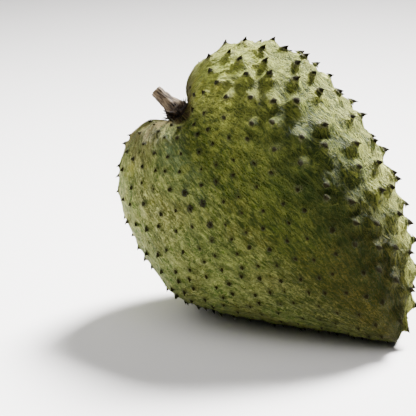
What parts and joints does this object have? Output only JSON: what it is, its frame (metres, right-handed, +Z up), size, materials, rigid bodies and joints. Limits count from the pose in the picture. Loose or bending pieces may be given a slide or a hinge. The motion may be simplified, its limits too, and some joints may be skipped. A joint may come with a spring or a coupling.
{
  "type": "soursop",
  "caption": "Whole soursop lying on its side: a lopsided heart-shaped tropical fruit covered in soft hooked spines, with a short woody stalk",
  "frame": {"origin": "middle of the flat spot that the fruit rests on", "axes": "+Z up, -Y towards the side the picture shows, +X towards the fruit's tip; the stalk points to -X and up"},
  "size_m": [0.2019, 0.1656, 0.1849],
  "materials": {
    "skin": "dull waxy green rind",
    "stalk": "rough brown bark"
  },
  "bodies": {
    "root": {"fruit": "skin", "stalk": "stalk"}
  },
  "joints": []
}
